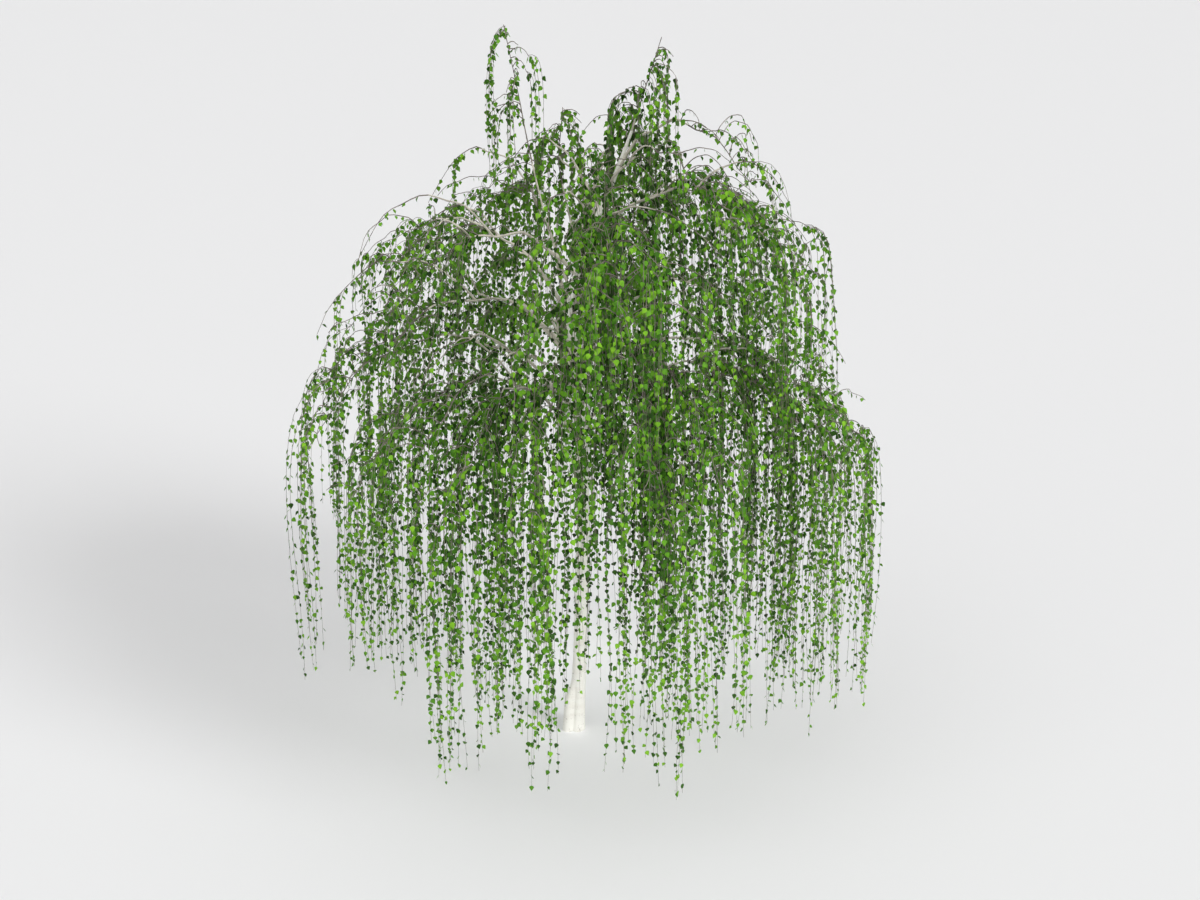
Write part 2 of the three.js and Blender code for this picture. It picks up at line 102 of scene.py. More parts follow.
# Upright limbs, of which the trunk is the last. Side shoots begin at the height leafy_from.
PLUMES = [
    {
        "root": 3.94,
        "foot": (-0.4, 0, 5.42),
        "top": (-0.52, 0, 6.04),
        "spread": 0.3,
        "hem": 4.3,
        "leafy_from": 5.0,
        "shoots": 26,
    },
    {
        "root": 4.25,
        "foot": (-0.13, 0.38, 4.96),
        "top": (-0.09, 0.4, 5.38),
        "spread": 0.41,
        "hem": 3.3,
        "leafy_from": 4.8,
        "shoots": 55,
    },
]
TRUNK_PLUME = {
    "foot": (0.45, 0, 5.25),
    "top": (0.67, 0, 5.95),
    "spread": 0.46,
    "hem": 3.1,
    "leafy_from": 4.95,
    "shoots": 96,
}
OUT_EARLY = 0.42  # how soon a limb swings outwards: 0.5 is steadily
SWAY = 0.022  # sideways wander of a limb, as a share of its reach
KINK = 0.028  # how far a limb's zigzag goes to either side
BARE_SHARE = {"low": 0.3, "high": 0.3, "crown": 0.4}  # how much of a limb is bare bough
BOUGH_RADIUS = {"low": 0.017, "high": 0.019, "crown": 0.015, "leader": 0.014}
FORK_RADIUS = 0.007
LIMB_RINGS = 60
LIMB_SIDES = 9
FORK_SIDES = 6
YOUNG_FROM = {"limb": 0.5, "fork": 0.4}  # share of its length beyond which a limb has dark, young bark

# ---- Foliage ----
STEM_POINTS = 40
STEM_END_RADIUS = 0.003
SHOOT_RADII = {"side": (0.0042, 0.0022), "hanging": (0.0024, 0.0013)}  # at its root and its end
FORKS = {"low": 2, "high": 3, "crown": 1, "plume": 0}  # the first side shoots of a mass, which are stronger
SIDE_SHOOTS = {"low": 17, "high": 20, "crown": 14, "plume": 18}  # with the forks
SIDE_REACH = {"fork": 1.5, "side": 0.6}  # about how far outwards a side shoot goes at most
FORK_BARE_POINTS = 6  # points of a fork's line before its first leaf
FIRST_HOST = {"low": 0.10, "high": 0.05, "crown": 0.05}  # share of a stem before its first side shoot
OUTER_HOSTS = 0.8  # under 1 crowds side shoots towards a limb's end
BUNDLE = 3  # hanging shoots that leave a host together
# Beyond this share of a limb's reach, or of a plume's height, more and more hanging shoots are left out.
THIN_FROM = {"low": 0.5, "high": 0.45, "crown": 0.35, "plume": 0.5}
THIN_MOST = 0.8  # share of hanging shoots left out at a limb's end
SHOOT_SWING = (0.05, 0.42)  # how far a hanging shoot swings out before it falls, least and most
SHOOT_WANDER = 0.024  # how far a hanging shoot strays to either side
SHORTEST_SHOOT = 0.15
LEAN = 0.07  # how far a hanging shoot leans outwards over its length
HEM_SPREAD = {"low": 1.6, "high": 1.7, "crown": 1.8, "plume": 1.8}
BUNCH_RISE = 0.9  # shoots at the edge of a sector end this much higher than those in its middle
INNER_HEM = {"rise": 1.6, "radius": 1.7}  # shoots near the trunk end higher
LEAF_SPACING = 0.066  # along a shoot
LEAF_LENGTH = 0.0445  # of an average blade, before LEAF_SIZES
LEAF_STALK = 0.22  # over the blade's length
LEAF_SIZES = {"hanging": (0.74, 1.22), "side": (0.7, 1.1)}  # least and most, over LEAF_LENGTH
LEAF_TURN = 218  # degrees round a shoot from one leaf to the next
LEAF_DROOP = (5, 48)  # degrees from hanging straight down
SPRAY_LEAVES = 2  # leaves that share a tint
# The crown's radius at each height. A leaf's depth in the crown is measured against it for the painted
# shade.
CROWN_PROFILE = {"height": (0, 1.2, 2.4, 3.4, 4.4, 5.1, 5.4), "radius": (1.3, 1.8, 2.3, 2.2, 1.7, 0.9, 0.2)}
# Painted shade: leaves deeper in the crown are dealt darker tints.
PAINTED_SHADE_DEPTH = 0.9  # weight of depth in the crown against chance when tints are dealt out
GOLDEN = (math.sqrt(5) - 1) / 2
PIECE_TRIANGLES = 190000
UP = np.array([0.0, 0.0, 1.0])
# Directions that the rings of tubes are set by, a little off the axes so that no tube runs along one.
NEARLY_UP = (0.02, 0.01, 1.0)
NEARLY_RIGHT = (1.0, 0.02, 0.01)

# ---- Colours ----
WHITE_BARK = {"Pale": (0.86, 0.85, 0.79, 1), "Band": (0.74, 0.71, 0.64, 1), "Dash": (0.07, 0.06, 0.05, 1)}
CRACK_HEIGHT = 0.45
LIMB_BARK = {"Dark": (0.36, 0.335, 0.28, 1), "Light": (0.66, 0.62, 0.53, 1)}
SHOOT_BARK = {"Dark": (0.085, 0.072, 0.06, 1), "Light": (0.25, 0.22, 0.185, 1)}
# Fresh and deep tones of each tint, from the brightest to the darkest. The darker tints go to leaves deeper
# in the crown as painted shade.
GREENS = [
    ((0.200, 0.440, 0.024), (0.118, 0.305, 0.018)),
    ((0.120, 0.320, 0.018), (0.068, 0.208, 0.013)),
    ((0.075, 0.220, 0.014), (0.042, 0.138, 0.010)),
    ((0.050, 0.150, 0.011), (0.028, 0.092, 0.008)),
    ((0.034, 0.100, 0.009), (0.019, 0.060, 0.007)),
    ((0.022, 0.062, 0.007), (0.013, 0.036, 0.006)),
]
LEAF_UNDERSIDE = (0.11, 0.28, 0.020)

# ---- Studio ----
FLOOR = {"size": 600, "colour": (0.79, 0.79, 0.795, 1)}
SKY = {"colour": (0.985, 0.99, 1.0, 1), "strength": 0.06}
# name, strength, softness in degrees, direction of the light, whether it casts shadows
SUNS = [
    ("key", 2.0, 26, (-4.5, 3.5, -3.1), True),
    ("fill", 1.25, 90, (0.8, 3.0, -2.2), False),
    ("top", 1.5, 90, (0, 0.2, -1), False),
]
UNDER_LAMP = {"energy": 28, "size": 0.3, "place": (-0.1, 1.1, 1.4)}
CAMERA = {"place": (0.205, -11.7, 6.89), "tilt": 70, "lens": 45, "sensor": 36, "far": 1000}


# ---- The seeded rule ----
def chance(*keys):
    """The same keys always give the same number from 0 to 1."""
    h = 2166136261
    for key in keys:
        h = ((h ^ key) * 16777619) & 0xFFFFFFFF
        h ^= h >> 15
        h = (h * 2246822519) & 0xFFFFFFFF
        h ^= h >> 13
    return h / 4294967296


def evenly(index, start):
    return (start + index * GOLDEN) % 1


# ---- Lines ----
def bend(a, b, c, t):
    return (1 - t) ** 2 * a + 2 * t * (1 - t) * b + t * t * c


def level_place(course, heights):
    """The place in plan of a course of points at each height."""
    return np.stack([np.interp(heights, course[:, 2], course[:, i]) for i in (0, 1)], axis=-1)


def kinks(t, seed, pace):
    """A zigzag between -1 and 1 that starts from nothing at t = 0."""
    phase = pace * t + chance(seed, 42)
    return (4 * np.abs(phase % 1 - 0.5) - 1) * np.minimum(1, 5 * t)


def polar(azimuth, radius=1.0):
    angle = math.radians(azimuth)
    return np.array([radius * math.cos(angle), radius * math.sin(angle), 0.0])


def course_points(course, steps):
    """Points on a smooth curve through the course, with steps between neighbours."""
    knots = np.array(course, float)
    knots = np.vstack([2 * knots[0] - knots[1], knots, 2 * knots[-1] - knots[-2]])
    points = []
    for p0, p1, p2, p3 in zip(knots, knots[1:], knots[2:], knots[3:]):
        d0, d1, d2 = (math.sqrt(np.linalg.norm(b - a)) for a, b in ((p0, p1), (p1, p2), (p2, p3)))
        m1 = ((p1 - p0) / d0 - (p2 - p0) / (d0 + d1) + (p2 - p1) / d1) * d1
        m2 = ((p2 - p1) / d1 - (p3 - p1) / (d1 + d2) + (p3 - p2) / d2) * d1
        t = np.linspace(0, 1, steps, endpoint=False)[:, None]
        points.append(
            (2 * t**3 - 3 * t**2 + 1) * p1
            + (t**3 - 2 * t**2 + t) * m1
            + (3 * t**2 - 2 * t**3) * p2
            + (t**3 - t**2) * m2
        )
    return np.vstack([*points, knots[-2]])


TRUNK_LINE = course_points(TRUNK_COURSE, 40)


def trunk_centre(height):
    return np.array([*level_place(TRUNK_LINE, height), height])


def trunk_radius(height):
    top = TRUNK_COURSE[-1][2]
    upper = np.interp(height, (FORK_HEIGHT, top), (TRUNK_RADIUS["fork"], TRUNK_RADIUS["tip"]))
    shaft = np.interp(height, (0, FORK_HEIGHT), (TRUNK_RADIUS["low"], TRUNK_RADIUS["fork"]))
    flared = shaft + FLARE["extra"] * np.exp(-height / FLARE["height"])
    return np.where(height > FORK_HEIGHT, upper, flared)


def limb_line(limb, t):
    """The centre line of an arching limb, from the trunk's centre at t = 0 to the limb's end at t = 1."""
    t = np.asarray(t, float)[..., None]
    out = bend(0, OUT_EARLY * limb["reach"], limb["reach"], t)
    height = bend(limb["root"], 2 * limb["crest"] - (limb["root"] + limb["tip"]) / 2, limb["tip"], t)
    wander = SWAY * limb["reach"] * t * np.sin(5 * t + 6.28 * chance(limb["seed"], 1))
    wander = wander + KINK * kinks(t, limb["seed"], 4.3)
    height = height + KINK * kinks(t, limb["seed"] + 50, 3.4)
    foot = trunk_centre(limb["root"]) * (1, 1, 0)
    return foot + height * UP + out * polar(limb["heading"]) + wander * polar(limb["heading"] + 90)


def leader_line(plume, t):
    """The centre line of an upright limb, from the trunk's centre to its plume's foot."""
    t = np.asarray(t, float)[..., None]
    root = trunk_centre(plume["root"])
    foot = np.array(plume["foot"], float)
    knee = root + (foot - root) * (0.62, 0.62, 0.4)
    return bend(root, knee, foot, t)


def resample(points, shares):
    """The points at shares of a polyline's length."""
    steps = np.linalg.norm(np.diff(points, axis=0), axis=1)
    along = np.concatenate([[0], np.cumsum(steps)])
    want = np.asarray(shares) * along[-1]
    return np.stack([np.interp(want, along, points[:, i]) for i in range(3)], axis=-1)


# ---- Mesh making ----
def unit(vectors):
    return vectors / np.maximum(np.linalg.norm(vectors, axis=-1, keepdims=True), 1e-9)


def ring_quads(count, rings, sides):
    """The faces between neighbouring rings of points, for a number of tubes."""
    tube, step, side = np.meshgrid(np.arange(count), np.arange(rings - 1), np.arange(sides), indexing="ij")
    base = (tube * rings + step) * sides
    here = base + side
    beside = base + (side + 1) % sides
    return np.stack([here, beside, beside + sides, here + sides], axis=-1).reshape(-1, 4)


def tubes(lines, radii, sides, corner):
    """Open-ended tubes round lines of equal point counts: (vertices, quads).

    corner is the direction from a line to the first point of each ring.
    """
    lines = np.asarray(lines, float)
    count, rings = lines.shape[:2]
    along = unit(np.gradient(lines, axis=1))
    corner = np.broadcast_to(np.asarray(corner, float), lines.shape)
    normal = unit(corner - along * np.sum(corner * along, axis=-1, keepdims=True))
    across = np.cross(along, normal)
    turn = np.linspace(0, 2 * math.pi, sides, endpoint=False)
    radii = np.asarray(radii, float)[..., None, None]
    ring = normal[:, :, None] * np.cos(turn)[:, None] + across[:, :, None] * np.sin(turn)[:, None]
    vertices = (lines[:, :, None] + radii * ring).reshape(-1, 3)
    return vertices, ring_quads(count, rings, sides)


def add_piece(name, vertices, faces, materials, face_material=None):
    """A mesh from arrays, riding on the root body. faces is an array of triangles or quads."""
    mesh = bpy.data.meshes.new(name)
    corners = faces.shape[1]
    mesh.vertices.add(len(vertices))
    mesh.vertices.foreach_set("co", np.ascontiguousarray(vertices, np.float32).ravel())
    mesh.loops.add(faces.size)
    mesh.loops.foreach_set("vertex_index", np.ascontiguousarray(faces, np.int32).ravel())
    mesh.polygons.add(len(faces))
    mesh.polygons.foreach_set("loop_start", np.arange(0, faces.size, corners, dtype=np.int32))
    mesh.polygons.foreach_set("use_smooth", np.full(len(faces), True))
    for material in materials:
        mesh.materials.append(material)
    if face_material is not None:
        mesh.polygons.foreach_set("material_index", face_material.astype(np.int32))
    mesh.update(calc_edges=True)
    mesh.validate()
    piece = bpy.data.objects.new(name, mesh)
    bpy.context.collection.objects.link(piece)
    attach(piece, "root")
    return piece


# ---- Growing the masses ----
def grow_masses():
    """Every mass, in the solids' order: its limb's full line, its stem and its own space."""
    masses = []
    for tier, limbs in (("low", LOW_LIMBS), ("high", HIGH_LIMBS), ("crown", CROWN_LIMBS)):
        for row in limbs:
            limb = dict(zip(LIMB_KEYS, row), tier=tier, seed=len(masses) + 1)
            limb["line"] = limb_line(limb, np.linspace(0, 1, LIMB_RINGS))
            limb["stem"] = limb_line(limb, np.linspace(BARE_SHARE[tier], 1, STEM_POINTS))
            limb["axis"] = trunk_centre(limb["root"])
            masses.append(limb)
    for plume in (*PLUMES, TRUNK_PLUME):
        foot, top = np.array(plume["foot"], float), np.array(plume["top"], float)
        mass = dict(plume, tier="plume", seed=len(masses) + 1, axis=foot)
        upper = foot + (top - foot) * np.linspace(0, 1, STEM_POINTS)[:, None]
        upper[:, 1] += 0.02 * np.sin(np.linspace(0, 5, STEM_POINTS))
        lower = TRUNK_LINE if plume is TRUNK_PLUME else leader_line(plume, np.linspace(0, 1, STEM_POINTS))
        line = np.vstack([lower[:-1], upper])
        mass["stem"] = resample(line[line[:, 2] > plume["leafy_from"]], np.linspace(0, 1, STEM_POINTS))
        mass["line"] = mass["stem"] if plume is TRUNK_PLUME else line
        masses.append(mass)
    return masses


def plume_shoot_ends(mass, k):
    """Where side shoot k of a plume leaves its stem and where it would end without arching over."""
    seed = mass["seed"]
    u = 0.25 + 0.73 * evenly(k, chance(seed, 2))
    start = resample(mass["stem"], [u])[0]
    reach = mass["spread"] * (0.25 + 0.75 * chance(seed, 5, k)) * (1.4 - u)
    return start, start + polar(360 * evenly(k, chance(seed, 4)), reach)


def arching_shoot_ends(mass, k):
    """The same for side shoot k of an arching limb. The first ones are forks, which leave it sooner."""
    seed = mass["seed"]
    if k <= FORKS[mass["tier"]]:
        start = resample(mass["line"], [0.16 + 0.1 * k + 0.1 * chance(seed, 41, k)])[0]
        longest = SIDE_REACH["fork"]
    else:
        first = FIRST_HOST[mass["tier"]]
        u = first + (0.97 - first) * evenly(k, chance(seed, 2)) ** OUTER_HOSTS
        start = resample(mass["stem"], [u])[0]
        longest = SIDE_REACH["side"]
    out = np.linalg.norm((start - mass["axis"])[:2])
    further = min(out + 0.08 + longest * chance(seed, 5, k) ** 1.6, mass["reach"] + 0.04)
    side = 1 if k % 2 else -1
    swing = side * (0.2 + 0.8 * chance(seed, 3, k))
    end = mass["axis"] * (1, 1, 0) + start * (0, 0, 1)
    return start, end + polar(mass["heading"] + swing * mass["half"], further)


def side_shoot(mass, k):
    """The line of side shoot k of a mass, which arches over."""
    seed = mass["seed"]
    ends = plume_shoot_ends if mass["tier"] == "plume" else arching_shoot_ends
    start, end = ends(mass, k)
    length = np.linalg.norm(end - start)
    top = (start + end) / 2 + (0.2 + 0.6 * chance(seed, 10, k)) * length * UP
    end = end - 0.15 * length * UP
    t = np.linspace(0, 1, 16)[:, None]
    across = unit(np.cross(end - start, UP))
    wander = 0.05 * length * np.sin(7 * t + 6.28 * chance(seed, 12, k)) * t
    zigzag = 0.02 * length * kinks(t, seed + k, 3.2)
    return bend(start, top, end, t) + (wander + zigzag) * (across + 0.6 * UP)


def shoot_end(mass, j, start, host):
    """The height at which hanging shoot j ends. Shoots of one host and bundle end near each other."""
    seed = mass["seed"]
    offset = start - mass["axis"]
    out = np.linalg.norm(offset[:2])
    rise = 0
    if mass["tier"] == "low":
        rise = INNER_HEM["rise"] * max(0, 1 - out / INNER_HEM["radius"])
    if mass["tier"] != "plume":
        azimuth = math.degrees(math.atan2(offset[1], offset[0]))
        turned = ((azimuth - mass["heading"] + 180) % 360 - 180) / mass["half"]
        rise += BUNCH_RISE * min(1.5, abs(turned)) ** 1.3
    ragged = 0.3 * chance(seed, 20, host) + 0.45 * chance(seed, 21, j // BUNDLE) + 0.25 * chance(seed, 6, j)
    return mass["hem"] + rise + HEM_SPREAD[mass["tier"]] * ragged**2


def thinning(mass, start):
    """The share of hanging shoots left out at a point: none near the trunk and most at a limb's tip."""
    if mass["tier"] == "plume":
        share = (start[2] - mass["foot"][2]) / (mass["top"][2] - mass["foot"][2])
    else:
        share = np.linalg.norm((start - mass["axis"])[:2]) / mass["reach"]
    first = THIN_FROM[mass["tier"]]
    return THIN_MOST * min(1, max(0, share - first) / (1 - first))


def hanging_shoot(mass, j, hosts):
    """Hanging shoot j of a mass: it leaves one of its hosts in a bundle, arches out a little and hangs."""
    seed = mass["seed"]
    bundle = j // BUNDLE
    host = bundle % len(hosts)
    u = 0.08 + 0.92 * evenly(bundle // len(hosts), chance(seed, 7, host)) if bundle >= len(hosts) else 1.0
    start = resample(hosts[host], [max(0.02, u - 0.05 * chance(seed, 13, j))])[0]
    drop = start[2] - shoot_end(mass, j, start, host)
    if drop < SHORTEST_SHOOT or chance(seed, 30, bundle) < thinning(mass, start):
        return None
    return fallen_line(mass, j, start, drop)


def fallen_line(mass, j, start, drop):
    """The line of hanging shoot j, which swings less where its mass has little room left further out."""
    seed = mass["seed"]
    bundle = j // BUNDLE
    outward = (start - mass["axis"]) * (1, 1, 0)
    room = mass.get("reach", 0.1) + 0.16 - np.linalg.norm(outward)
    carry = min(1, max(0.25, room / 0.4))
    outward = unit(outward)
    away = unit(polar(360 * chance(seed, 8, bundle) + 90 * chance(seed, 17, j), 0.8) + outward)
    low, high = SHOOT_SWING
    swing = carry * (low + (high - low) * (0.75 * chance(seed, 9, bundle) + 0.25 * chance(seed, 18, j)))
    ease = 0.03 + 0.85 * swing
    lift = swing * (0.5 + 0.8 * chance(seed, 11, j))
    fallen = drop * np.linspace(0, 1, 12)[:, None] ** 1.3
    gone = 1 - np.exp(-fallen / ease)
    lean = carry * LEAN * (0.3 + 1.4 * chance(seed, 19, bundle)) * (1 - np.exp(-fallen))
    line = start + swing * gone * away + lean * outward + (lift * gone - fallen) * UP
    for axis, key in ((0, 15), (1, 16)):
        phase = 6.28 * chance(seed, key, bundle, 2)
        pace = 1.6 + 1.6 * chance(seed, key, j)
        line[:, axis] += SHOOT_WANDER * (np.sin(pace * fallen[:, 0] + phase) - math.sin(phase))
    return line


def grow(masses):
    """Every fork, side shoot and hanging shoot, as lines."""
    forks, sides, hanging = [], [], []
    for mass in masses:
        own = [side_shoot(mass, k) for k in range(1, SIDE_SHOOTS[mass["tier"]] + 1)]
        hosts = [mass["stem"], *own]
        forks += own[: FORKS[mass["tier"]]]
        sides += own[FORKS[mass["tier"]] :]
        lines = [hanging_shoot(mass, j, hosts) for j in range(mass["shoots"])]
        hanging += [line for line in lines if line is not None]
    return np.array(forks), np.array(sides), np.array(hanging)


# ---- Leaves ----
def leaf_shape():
    """One leaf with a blade of unit length, hanging from its stalk's foot: vertices and triangles.

    -Z is along the leaf and +X across it. Triangles fan out round the blade's middle.
    """
    half = [(0.02, 0, 0), (0.33, 0.02, -0.1), (0.44, 0.03, -0.32), (0.27, 0.0, -0.62), (0.09, 0.02, -0.85)]
    outline = [*half, (0, 0.05, -1), *[(-x, y, z) for x, y, z in reversed(half)]]
    vertices = np.array([*outline, (0, -0.06, -0.42), (0, 0, LEAF_STALK)]) - (0, 0, LEAF_STALK)
    rim = np.arange(len(outline))
    middle, foot = len(outline), len(outline) + 1
    fan = np.stack([rim, np.roll(rim, -1), np.full(len(rim), middle)], axis=-1)
    return vertices, np.vstack([fan, (0, rim[-1], foot)])


def leaf_places(lines, rng):
    """The foot, outward direction and share along its line of every leaf on the lines."""
    feet, outs, shares = [], [], []
    for line in lines:
        length = np.linalg.norm(np.diff(line, axis=0), axis=1).sum()
        count = max(2, int(length / LEAF_SPACING))
        share = ((np.arange(count) + 0.5 + rng.uniform(-0.48, 0.48, count)) / count) ** 1.2
        azimuth = rng.uniform(0, 360) + LEAF_TURN * np.arange(count) + rng.uniform(-30, 30, count)
        azimuth = np.radians(azimuth)
        feet.append(resample(line, share))
        outs.append(np.stack([np.cos(azimuth), np.sin(azimuth), np.zeros(count)], axis=-1))
        shares.append(share)
    return np.concatenate(feet), np.concatenate(outs), np.concatenate(shares)


def leaf_mesh(feet, outs, sizes, rng):
    """Vertices and triangles of one leaf at each foot.

    A leaf hangs to its own side of the shoot and faces out of the crown, more or less.
    """
    shape, faces = leaf_shape()
    count = len(feet)
    droop = np.radians(rng.uniform(*LEAF_DROOP, count))[:, None]
    along = -np.cos(droop) * UP + np.sin(droop) * outs
    crown = unit(feet * (1, 1, 0))
    facing = crown + 0.45 * outs + rng.normal(0, 0.75, (count, 3)) + 0.2 * UP
    across = unit(np.cross(along, facing))
    facing = np.cross(across, along)
    local = shape[None] * sizes[:, None, None]
    vertices = (
        feet[:, None]
        + local[:, :, 0:1] * across[:, None]
        - local[:, :, 1:2] * facing[:, None]
        - local[:, :, 2:3] * along[:, None]
    )
    all_faces = faces[None] + len(shape) * np.arange(count)[:, None, None]
    return vertices.reshape(-1, 3), all_faces.reshape(-1, 3)


# ---- Materials ----
def node_group(name, inputs, outputs):
    """An empty shader group with its sockets: (group, input node, output node)."""
    group = bpy.data.node_groups.new(name, "ShaderNodeTree")
    for direction, sockets in (("INPUT", inputs), ("OUTPUT", outputs)):
        for label, kind in sockets:
            group.interface.new_socket(label, in_out=direction, socket_type="NodeSocket" + kind)
    return group, group.nodes.new("NodeGroupInput"), group.nodes.new("NodeGroupOutput")


def noise_node(group, scale, detail, roughness=0.5):
    """Noise over object coordinates, with scale features to the metre along each axis."""
    place = group.nodes.new("ShaderNodeTexCoord")
    mapping = group.nodes.new("ShaderNodeMapping")
    mapping.inputs["Scale"].default_value = scale
    group.links.new(place.outputs["Object"], mapping.inputs["Vector"])
    node = group.nodes.new("ShaderNodeTexNoise")
    node.inputs["Scale"].default_value = 1.0
    node.inputs["Detail"].default_value = detail
    node.inputs["Roughness"].default_value = roughness
    group.links.new(mapping.outputs["Vector"], node.inputs["Vector"])
    return node.outputs["Fac"]


def ranged(group, value, low, high, to_low=0.0, to_high=1.0):
    node = group.nodes.new("ShaderNodeMapRange")
    node.inputs["From Min"].default_value = low
    node.inputs["From Max"].default_value = high
    node.inputs["To Min"].default_value = to_low
    node.inputs["To Max"].default_value = to_high
    group.links.new(value, node.inputs["Value"])
    return node.outputs["Result"]


def mixed(tree, factor, a, b):
    """A colour mix. a and b are sockets."""
    node = tree.nodes.new("ShaderNodeMix")
    node.data_type = "RGBA"
    tree.links.new(factor, node.inputs[0])
    tree.links.new(a, node.inputs[6])
    tree.links.new(b, node.inputs[7])
    return node.outputs[2]


def maths(group, operation, a, b):
    """A sum on two sockets, or a socket and a number."""
    node = group.nodes.new("ShaderNodeMath")
    node.operation = operation
    for socket, value in zip(node.inputs, (a, b)):
        if isinstance(value, (int, float)):
            socket.default_value = value
        else:
            group.links.new(value, socket)
    return node.outputs[0]


def leaf_blade_group():
    """Leaf colour that varies from leaf to leaf, with a little shine and a fine grain."""
    group, given, out = node_group(
        "leaf_blade",
        [("Fresh", "Color"), ("Deep", "Color")],
        [("Color", "Color"), ("Roughness", "Float"), ("Height", "Float")],
    )
    whole = noise_node(group, (16, 16, 16), 2.0)
    fine = noise_node(group, (260, 260, 260), 2.0)
    tone = ranged(group, whole, 0.34, 0.66)
    group.links.new(mixed(group, tone, given.outputs["Deep"], given.outputs["Fresh"]), out.inputs["Color"])
    group.links.new(ranged(group, fine, 0.3, 0.7, 0.42, 0.6), out.inputs["Roughness"])
    group.links.new(fine, out.inputs["Height"])
    return group


def bark_group():
    """Pale bark with dark dashes across it, grey bands, and dark cracks that fade with height."""
    group, given, out = node_group(
        "birch_bark",
        [("Pale", "Color"), ("Band", "Color"), ("Dash", "Color"), ("Crack Height", "Float")],
        [("Color", "Color"), ("Roughness", "Float"), ("Height", "Float")],
    )
    band = ranged(group, noise_node(group, (5, 5, 14), 4.0), 0.48, 0.78)
    pale = mixed(group, band, given.outputs["Pale"], given.outputs["Band"])
    dash = ranged(group, noise_node(group, (24, 24, 170), 1.0), 0.69, 0.74)
    patch = ranged(group, noise_node(group, (9, 9, 14), 2.0), 0.42, 0.6)
    dashes = maths(group, "MULTIPLY", dash, patch)
    place = group.nodes.new("ShaderNodeTexCoord")
    parts = group.nodes.new("ShaderNodeSeparateXYZ")
    group.links.new(place.outputs["Object"], parts.inputs[0])
    height = maths(group, "DIVIDE", parts.outputs["Z"], given.outputs["Crack Height"])
    low = ranged(group, height, 0.0, 1.0, 1.0, 0.0)
    crack = ranged(group, noise_node(group, (38, 38, 12), 5.0, 0.6), 0.62, 0.74)
    cracks = maths(group, "MULTIPLY", crack, low)
    marks = maths(group, "MAXIMUM", dashes, cracks)
    group.links.new(mixed(group, marks, pale, given.outputs["Dash"]), out.inputs["Color"])
    group.links.new(ranged(group, marks, 0.0, 1.0, 0.62, 0.9), out.inputs["Roughness"])
    grain = noise_node(group, (90, 90, 160), 4.0)
    sunk = maths(group, "MULTIPLY", marks, 0.8)
    group.links.new(maths(group, "SUBTRACT", grain, sunk), out.inputs["Height"])
    return group


def twig_group():
    """Thin bark: brown-grey with paler stretches."""
    group, given, out = node_group(
        "twig_bark",
        [("Dark", "Color"), ("Light", "Color")],
        [("Color", "Color"), ("Roughness", "Float"), ("Height", "Float")],
    )
    tone = ranged(group, noise_node(group, (11, 11, 11), 4.0), 0.36, 0.64)
    grain = noise_node(group, (120, 120, 60), 3.0)
    group.links.new(mixed(group, tone, given.outputs["Dark"], given.outputs["Light"]), out.inputs["Color"])
    group.links.new(ranged(group, grain, 0.3, 0.7, 0.62, 0.85), out.inputs["Roughness"])
    group.links.new(grain, out.inputs["Height"])
    return group


def grown_material(name, group, values, bump, distance, specular=0.4):
    """A principled material fed by a group's colour, roughness and height."""
    material = bpy.data.materials.new(name)
    material.use_nodes = True
    tree = material.node_tree
    shader = tree.nodes["Principled BSDF"]
    shader.inputs["Specular IOR Level"].default_value = specular
    surface = tree.nodes.new("ShaderNodeGroup")
    surface.node_tree = group
    for label, value in values.items():
        surface.inputs[label].default_value = value
    relief = tree.nodes.new("ShaderNodeBump")
    relief.inputs["Strength"].default_value = bump
    relief.inputs["Distance"].default_value = distance
    tree.links.new(surface.outputs["Height"], relief.inputs["Height"])
    tree.links.new(relief.outputs["Normal"], shader.inputs["Normal"])
    tree.links.new(surface.outputs["Roughness"], shader.inputs["Roughness"])
    tree.links.new(surface.outputs["Color"], shader.inputs["Base Color"])
    return material


def leaf_material(name, group, fresh, deep):
    """A leaf's upper side from the group, and one plain colour for its underside."""
    values = {"Fresh": (*fresh, 1), "Deep": (*deep, 1)}
    material = grown_material(name, group, values, 0.25, 0.001, 0.1)
    tree = material.node_tree
    shader = tree.nodes["Principled BSDF"]
    upper = shader.inputs["Base Color"].links[0].from_socket
    side = tree.nodes.new("ShaderNodeNewGeometry")
    below = tree.nodes.new("ShaderNodeRGB")
    below.outputs[0].default_value = (*LEAF_UNDERSIDE, 1)
    colour = mixed(tree, side.outputs["Backfacing"], upper, below.outputs[0])
    tree.links.new(colour, shader.inputs["Base Color"])
    return material


# ---- The tree's pieces ----
def trunk_relief(heights, turns):
    """The bark's own unevenness, at each height and turn."""
    relief = np.empty((len(heights), len(turns)))
    for i, j in np.ndindex(*relief.shape):
        spot = Vector((math.cos(turns[j]) * 0.06, math.sin(turns[j]) * 0.06, heights[i]))
        broad = noise.noise(spot * 9)
        fine = noise.noise(Vector((spot.x * 70, spot.y * 70, spot.z * 22)))
        relief[i, j] = BARK_RELIEF["broad"] * broad + BARK_RELIEF["fine"] * fine
    return relief


